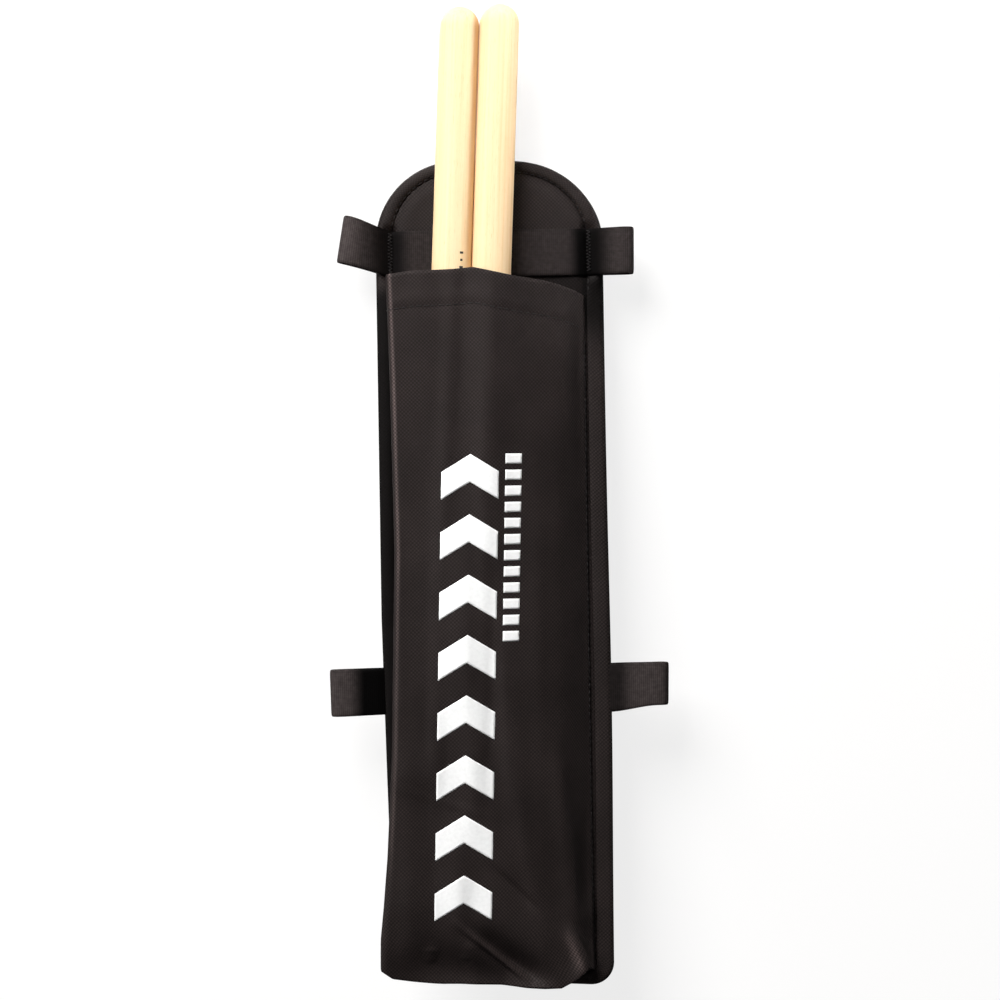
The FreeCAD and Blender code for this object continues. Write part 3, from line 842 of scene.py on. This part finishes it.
def make_pocket():
    """The pocket's cloth with its hem and mouth, and its outer surface for the stitches."""
    surface = pocket_surface()
    lay = pocket_lay(surface)
    below_mouth = mouth_z(surface[..., 0]) - surface[..., 2]
    rows = np.arange(len(surface))[:, None]
    in_hem = (1 - ease(below_mouth, HEM_HEIGHT - 0.4, HEM_HEIGHT + 0.4)) * (rows > FLOOR_ROWS + 20)
    thick = CLOTH_THICK + HEM_EXTRA * in_hem
    normal = grid_normals(surface)
    facing = np.sign(np.sum(normal * (surface - surface.mean((0, 1))), axis=2, keepdims=True).mean())
    normal = normal * facing
    inner = surface - normal * thick[..., None]
    inner[:, :, 1] = np.minimum(inner[:, :, 1], ROOT_Y)
    turn, up = normal[-1:] * 0.25, np.array([0, 0, 0.28])
    outer = np.concatenate([surface, surface[-1:] - turn + up])
    inside = np.concatenate([inner, inner[-1:] + turn + up])
    lay = np.concatenate([lay, lay[-1:] + np.array([0, 0.3, 0])])
    piece = dress(shell("pocket_cloth", outer, inside, lay), CLOTH, "cloth", "bag", "pocket_front",
                  "pocket_left_gusset", "pocket_right_gusset", "pocket_floor", "mouth_hem")
    return piece, surface, normal


def make_pocket_stitches(surface, normal):
    """The hem's row below the mouth, and the rows that sew both gussets' feet to the panel."""
    hem, hem_out = [], []
    for c in range(8, SECTION_POINTS - 8):
        column = surface[FLOOR_ROWS:, c]
        z = mouth_z(column[:, 0])[-1] - HEM_STITCH
        hem.append(along([z], column[:, 2], column)[0])
        hem_out.append(normal[FLOOR_ROWS + int(np.argmin(np.abs(column[:, 2] - z))), c])
    stitches("mouth_hem_stitches", np.array(hem), np.array(hem_out), 3.4, 2.7, 0.45, ("mouth_hem_stitching",))
    rows = slice(FLOOR_ROWS + 6, len(surface) - 14)
    for name, c, nodes in (("left_gusset_stitches", 4, ("gusset_stitching",)),
                           ("right_gusset_stitches", SECTION_POINTS - 4, ())):
        stitches(name, surface[rows, c], normal[rows, c], 3.3, 2.6, 0.45, nodes)


# ---- print

MARK_LEAN = math.tan(math.radians(1.8))
MARK_X, MARK_TOP = -9.9, 54.9
INK_FILM = 0.13
CHEVRONS, CHEVRON_PITCH, CHEVRON_HALF, CHEVRON_RISE, CHEVRON_THICK = 8, 27.2, 13.0, 8.0, 12.6
BARS, BAR_PITCH, BAR_X, BAR_WIDTH, BAR_TALL = 12, 7.3, 19.6, 7.4, 4.6


def make_print(pocket):
    """The white mark, a column of chevrons with a column of bars, laid on the pocket's cloth."""
    tree = BVHTree.FromObject(pocket, bpy.context.evaluated_depsgraph_get())

    def film(name, x, z):
        placed = np.zeros((*x.shape, 3))
        for index in np.ndindex(x.shape):
            px = MARK_X + x[index] + MARK_LEAN * z[index]
            pz = MARK_TOP + z[index]
            hit = tree.ray_cast(Vector((px * METRES, -0.08, pz * METRES)), Vector((0, 1, 0)))[0]
            placed[index] = np.array(hit) / METRES
        outer, inner = placed + np.array([0, -INK_FILM, 0]), placed + np.array([0, 0.05, 0])
        return shell(name, outer, inner, joined(placed[..., 0], placed[..., 2], 0.0))

    films = []
    across = np.linspace(-CHEVRON_HALF, CHEVRON_HALF, 27)
    down = np.linspace(1, 0, 14)
    for i in range(CHEVRONS):
        x, share = np.meshgrid(across, down)
        z = -i * CHEVRON_PITCH - CHEVRON_RISE * np.abs(x) / CHEVRON_HALF - CHEVRON_THICK * share
        films.append(film(f"print_chevron_{i + 1}", x, z))
    for i in range(BARS):
        x, share = np.meshgrid(BAR_X + BAR_WIDTH * np.linspace(-0.5, 0.5, 9), np.linspace(1, 0, 6))
        films.append(film(f"print_bar_{i + 1}", x, -i * BAR_PITCH - BAR_TALL * share))
    for k, piece in enumerate(films):
        dress(piece, INK, "ink", "bag", *(("printed_mark",) if k == 0 else ()))


# ---- elastic

RIBBON_ROWS = 25
RIBBON = 1.0
LOOP_ROOT = TACK_X - 1.0
LOOP_LAY = 60.0
TACK_STEPS = 25


def ribbon(name, path, z_middle, lift=0.0, skew=0.0, start=0.0, painted_shading=0.0, narrow=1.0):
    """A strip of elastic that follows a path of X and Y and is as wide as the real one along Z."""
    half = ELASTIC_WIDTH / 2
    across = half * np.sin(np.linspace(-math.pi / 2, math.pi / 2, RIBBON_ROWS))
    tangent = np.gradient(path, axis=0)
    tangent /= np.linalg.norm(tangent, axis=1, keepdims=True)
    side = joined(-tangent[:, 1], tangent[:, 0])
    travelled = run_lengths(path) + start
    thin = np.sqrt(np.clip(1 - (np.abs(across) / half) ** 14, 0.05, 1))
    outer, inner, lay = [], [], []
    for v, t in zip(across, thin):
        for grid, sign in ((outer, 1), (inner, -1)):
            x, y = (path + sign * side * (RIBBON / 2 * t)).T
            grid.append(joined(x + skew * v, y, z_middle + v * narrow + lift))
        # The lay's Z carries the painted shading: shade where positive, a highlight where negative.
        lay.append(joined(travelled, v, painted_shading))
    return shell(name, np.array(outer), np.array(inner), np.array(lay))


def loop_path(side, reach, front_y, rear_y, tack_front, tack_rear, round_y):
    """Hairpin from the front ply's tack, out and round the fold, back to the rear ply's tack."""
    out = HALF_WIDTH + reach
    corners = [
        (LOOP_ROOT, tack_front), (HALF_WIDTH - 3.5, tack_front + 0.25 * (front_y - tack_front)),
        (HALF_WIDTH + 1.0, tack_front + 0.62 * (front_y - tack_front)), (out - 5.4, front_y),
        (out - 1.6, front_y + 0.3), (out, round_y), (out - 1.6, rear_y - 0.3), (out - 5.4, rear_y),
        (HALF_WIDTH + 1.6, tack_rear + 0.30 * (rear_y - tack_rear)), (HALF_WIDTH - 3.0, tack_rear),
        (LOOP_ROOT, tack_rear),
    ]
    path = soft_path(corners, 1.5, 130)
    path[:, 0] *= side
    return path


def make_upper_elastic():
    """The band across the front and its two loops, which meet it at the sewn valleys."""
    flat_y = -PANEL - 1.35
    valley = -PANEL + 0.9
    line = [(-TACK_X + 0.4, valley), (-TACK_X + 5.0, flat_y + 0.35), (-30, flat_y), (0, flat_y), (30, flat_y),
            (TACK_X - 5.0, flat_y + 0.35), (TACK_X - 0.4, valley)]
    path = soft_path(line, 1.4, 160)
    band_z = UPPER_BAND_Z - 0.6
    # Painted shade over the whole band, deepest where it dives into the sewn valleys at both ends.
    painted_shading = 0.24 + 0.75 * ease(path[:, 0], 35.0, 42.0) + 0.68 * ease(-path[:, 0], 35.0, 42.5)
    band = ribbon("upper_elastic_strap", path, band_z, painted_shading=painted_shading)
    dress(band, ELASTIC_BLACK, "elastic", "bag", "upper_elastic_band")
    for side, name, reach in ((-1, "left", 16.0), (1, "right", 14.0)):
        path = loop_path(side, reach, -10.0, -1.6, valley, -PANEL + 1.9, -5.6)
        beyond = np.abs(path[:, 0]) - LOOP_ROOT
        # Painted shade on each loop, deepest at its root and fading outwards; the left loop also gets a
        # painted highlight round its outer turn.
        deep, start, gone = (0.9, 2.5, 17.0) if side < 0 else (0.98, 4.0, 15.0)
        painted_shading = deep * (1 - ease(beyond, start, gone))
        if side < 0:
            lift = 8.2 * ease(beyond, -2, 30) ** 0.75
            skew = 0.17 * ease(beyond, 4, 22)
            painted_shading -= 0.7 * ease(beyond, 12, 19) * (1 - 0.6 * ease(beyond, 20, 24))
        else:
            lift = 0.2 * ease(beyond, 0, 20)
            skew = 0.015 * ease(beyond, 4, 22)
        loop = ribbon(f"upper_{name}_elastic_loop", path, band_z, lift, skew, LOOP_LAY, painted_shading)
        finish_loop(loop, f"upper_{name}_loop")


def make_lower_elastic():
    """The band let in across the back and its two loops, which come out from behind the panel."""
    flat_y, end = -RIBBON / 2 - 0.05, TACK_X + 1.2
    line = [(-end, flat_y - 0.2), (-30, flat_y), (0, flat_y), (30, flat_y), (end, flat_y - 0.2)]
    band = ribbon("lower_elastic_strap", soft_path(line, 2.0, 120), LOWER_BAND_Z)
    dress(band, ELASTIC_BLACK, "elastic", "bag", "lower_elastic_band")
    for side, name, reach, drop in ((-1, "left", 24.0, -0.6), (1, "right", 27.2, 1.6)):
        path = loop_path(side, reach, -5.4, 3.2, -2 * ELASTIC + 0.5, -RIBBON / 2, -1.2)
        beyond = np.abs(path[:, 0]) - HALF_WIDTH
        lift = drop * ease(beyond, -4, 24)
        skew = 0.02 * side * ease(beyond, 4, 24)
        # Painted shade on each loop where it comes out from behind the panel, turning to a painted highlight
        # on its outer part.
        deep, gone, wide, taper = (0.99, 16.5, 1.0, 0.0) if side < 0 else (0.66, 12.0, 1.04, 0.13)
        painted_shading = -0.4 + (deep + 0.4) * (1 - ease(beyond, gone - 8.5, gone))
        narrow = wide - taper * ease(beyond, 0, 22)
        loop = ribbon(f"lower_{name}_elastic_loop", path, LOWER_BAND_Z, lift, skew, LOOP_LAY, painted_shading, narrow)
        finish_loop(loop, f"lower_{name}_loop")


def finish_loop(loop, body):
    """Gives a loop its material, hides the CAD loop it stands for, and bakes its place into its mesh."""
    loop.data.materials.append(ELASTIC_BLACK)
    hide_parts(body)
    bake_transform(loop)


def make_tacks():
    """Close zigzag rows that hold the elastic's ends, in front above and behind below."""
    half = ELASTIC_WIDTH / 2 - 1.4
    steps = np.linspace(-half, half, TACK_STEPS)
    sway = np.where(np.arange(TACK_STEPS) % 2 == 0, -1.0, 1.0)
    for name, y, out, z, nodes in (
        ("upper_band_tack", -PANEL - 0.75, -1.0, UPPER_BAND_Z, ("upper_band_tacks",)),
        ("lower_band_tack", 0.02, 1.0, LOWER_BAND_Z, ("lower_band_tacks",)),
    ):
        for side, label in ((-1, "left"), (1, "right")):
            outward = np.tile([0.0, out, 0.0], (TACK_STEPS, 1))
            stitches(f"{name}_{label}", joined(side * TACK_X + sway, y, z + steps), outward, 2.1, 1.9, 0.42,
                     nodes if side < 0 else ())


# ---- sticks

LATHE_SIDES = 72
LACQUER = 0.16
OTHER_GRAIN = 61.0
TAPER_START, NECK_RADIUS, NECK_AT, TIP_RADIUS = 95.0, 4.6, 16.0, 5.8


def stick_profile():
    """Radius and height up the stick, from the tip's end to the butt's."""
    shaft = STICK_RADIUS + LACQUER
    tip = [
        (0, 0), (2.4, 0.5), (4.18, 1.6), (5.3, 3.6), (TIP_RADIUS, 6.5), (5.75, 9.0), (5.22, 11.5),
        (4.75, 14.0),
    ]
    taper = np.linspace(0, 1, 18)
    swell = NECK_RADIUS + (shaft - NECK_RADIUS) * (taper * taper * (3 - 2 * taper) * 0.5 + taper * 0.5)
    body = [(r, NECK_AT + t * (TAPER_START - NECK_AT)) for r, t in zip(swell, taper)]
    straight = [(shaft, z) for z in np.linspace(TAPER_START + 15, STICK_LENGTH - shaft - 0.5, 26)]
    turns = np.linspace(0, math.pi / 2, 16)
    dome = [(shaft * math.cos(a), STICK_LENGTH - shaft + shaft * math.sin(a)) for a in turns]
    return np.array(tip + body + straight + dome)


def make_stick(node):
    """A turned stick with its grain along it."""
    profile = stick_profile()
    tip = butt_centre(node) - STICK_UP * (STICK_LENGTH - STICK_RADIUS)
    forward = np.array([0.0, 1.0, 0.0])
    shift = 0.0 if node == "left_stick" else OTHER_GRAIN
    points, lay = [], []
    for radius, height in profile:
        for a in np.linspace(0, 2 * math.pi, LATHE_SIDES, endpoint=False):
            x, y = radius * math.cos(a), radius * math.sin(a)
            points.append(tip + STICK_UP * height + STICK_RIGHT * x + forward * y)
            lay.append((x + shift, y, height + shift))
    faces = grid_faces(len(profile), LATHE_SIDES, closed_columns=True)
    return dress(put(f"{node}_wood", points, faces, lay), WOOD, "wood", node, node)


TICKS, TICK_PITCH, TICK_TOP = 6, 3.3, 146.2
TICK_ROWS = np.linspace(-0.5, 0.5, 4)


def make_stick_ticks():
    """A short column of plain dashes stamped on the left stick near the mouth."""
    centre = butt_centre("left_stick")
    lean = math.radians(30)
    for k in range(TICKS):
        height = TICK_TOP - k * TICK_PITCH - centre[2]
        width = 1.7 if k % 2 == 0 else 1.1
        angles = lean + np.linspace(-width, width, 7) / STICK_RADIUS / 2
        out = np.array([STICK_RIGHT * math.sin(a) + np.array([0, -math.cos(a), 0]) for a in angles])
        side = centre + STICK_UP * height + out * (STICK_RADIUS + LACQUER)
        base = np.array([side + STICK_UP * d for d in TICK_ROWS])
        piece = shell(f"stick_tick_{k + 1}", base + out * 0.06, base - out * 0.05, base)
        dress(piece, MARKER, "ink", "left_stick")


# ---- stage, light and camera

LENS, SENSOR = 85.0, 36.0
CAMERA_DISTANCE = 1.091
CAMERA_X, CAMERA_Z = 0.00314, 0.0339
CAMERA_ROLL = math.radians(0.9)
# Metres: the wall stands clear of loops folded back, and is upright behind sticks drawn up
WALL_GAP, WALL_BEND_Z, WALL_LEAN = 0.013, 0.165, 0.077
STAGE, FLOOR_HEIGHT, BACKDROP = 1.6, -0.30, 4.0
PAPER, PAPER_GLOW = (0.235, 0.23, 0.225, 1), 0.80
# Name, place, target, size, watts and spread in degrees
LIGHTS = [
    ("key", (-0.67, -1.12, 1.17), (0, 0, 0.02), (1.0, 1.0), 52, 180),
    ("side", (-1.1, -0.16, 0.0), (0, 0, -0.02), (0.25, 0.5), 3.5, 180),
    ("bounce", (0.32, -0.10, 0.34), (0, -0.015, 0.235), (0.1, 0.16), 0.13, 50),
    ("right", (0.9, -0.11, -0.05), (0, -0.01, -0.05), (0.25, 0.5), 0.55, 180),
    ("back_key", (-0.5, 1.2, 0.9), (0, 0, 0), (0.8, 0.8), 24, 180),
]
WORLD_LIGHT = 0.08


def plane(name, corners, material):
    """A flat piece of the stage, out of the shadows and the bounced light."""
    mesh = bpy.data.meshes.new(name)
    mesh.from_pydata(corners, [], [[0, 1, 2, 3]])
    item = add_object(name, mesh)
    mesh.materials.append(material)
    item.visible_shadow = item.visible_diffuse = item.visible_glossy = False


def paper(name, hidden_back=False):
    """Matt paper with a glow of its own, clear from behind where hidden_back is set."""
    material, tree = new_material(name)
    shader = tree.nodes["Principled BSDF"]
    shader.inputs["Base Color"].default_value = PAPER
    shader.inputs["Roughness"].default_value = 0.9
    shader.inputs["Specular IOR Level"].default_value = 0.0
    shader.inputs["Emission Color"].default_value = (1, 1, 1, 1)
    shader.inputs["Emission Strength"].default_value = PAPER_GLOW
    if hidden_back:
        clear = tree.nodes.new("ShaderNodeBsdfTransparent")
        mix = tree.nodes.new("ShaderNodeMixShader")
        geometry = tree.nodes.new("ShaderNodeNewGeometry")
        sources = (geometry.outputs["Backfacing"], shader.outputs[0], clear.outputs[0])
        for source, target in zip(sources, mix.inputs):
            tree.links.new(source, target)
        tree.links.new(mix.outputs[0], tree.nodes["Material Output"].inputs["Surface"])
    return material


def room_paint():
    """An even white glow, for the backdrop that stands all round."""
    material, tree = new_material("backdrop_paper")
    glow = tree.nodes.new("ShaderNodeEmission")
    glow.inputs["Strength"].default_value = 1.0
    tree.links.new(glow.outputs[0], tree.nodes["Material Output"].inputs["Surface"])
    return material


def make_stage():
    """A pale floor, a backdrop all round, and a bent wall that shows only from its front."""
    a, low = STAGE, FLOOR_HEIGHT
    plane("floor", [(-a, -a, low), (a, -a, low), (a, a, low), (-a, a, low)], paper("floor_paper"))
    foot, wall_paper = WALL_GAP + WALL_LEAN * (WALL_BEND_Z - low), paper("wall_paper", True)
    walls = (("wall_low", foot, low, WALL_BEND_Z), ("wall_high", WALL_GAP, WALL_BEND_Z, a))
    for name, y, bottom, top in walls:
        plane(name, [(-a, y, bottom), (a, y, bottom), (a, WALL_GAP, top), (-a, WALL_GAP, top)], wall_paper)
    far, paint = BACKDROP, room_paint()
    corners = [(-far, -far), (far, -far), (far, far), (-far, far)]
    for k, (start, end) in enumerate(zip(corners, corners[1:] + corners[:1])):
        plane(f"backdrop_{k + 1}", [(*start, -far), (*end, -far), (*end, far), (*start, far)], paint)


def area_light(name, place, target, size, power, spread):
    """A rectangular light that points at a target."""
    light = bpy.data.lights.new(name, "AREA")
    light.shape = "RECTANGLE"
    light.size, light.size_y = size
    light.energy = power
    light.spread = math.radians(spread)
    item = add_object(name, light)
    item.location = place
    item.rotation_euler = (Vector(target) - Vector(place)).to_track_quat("-Z", "Y").to_euler()


def make_light():
    """A soft key from the upper left, weak light from both sides, and one on the back."""
    world = bpy.data.worlds.new("studio")
    world.use_nodes = True
    background = world.node_tree.nodes["Background"]
    background.inputs["Color"].default_value = (1, 1, 1, 1)
    background.inputs["Strength"].default_value = WORLD_LIGHT
    bpy.context.scene.world = world
    for light in LIGHTS:
        area_light(*light)


def make_camera():
    """The camera at the photograph's distance, height and roll."""
    data = bpy.data.cameras.new("camera")
    data.lens, data.sensor_width = LENS, SENSOR
    data.clip_start, data.clip_end = 0.05, 20
    camera = add_object("camera", data)
    camera.location = (CAMERA_X, -CAMERA_DISTANCE, CAMERA_Z)
    camera.rotation_euler = (math.pi / 2, CAMERA_ROLL, 0)
    bpy.context.scene.camera = camera


# ---- the bag

make_panel()
make_binding_stitches()
pocket, pocket_points, pocket_normals = make_pocket()
make_pocket_stitches(pocket_points, pocket_normals)
bpy.context.view_layer.update()
make_print(pocket)
make_upper_elastic()
make_lower_elastic()
make_tacks()
make_stick("left_stick")
make_stick("right_stick")
make_stick_ticks()
make_stage()
make_light()
make_camera()
bpy.context.scene.view_settings.view_transform = "Standard"
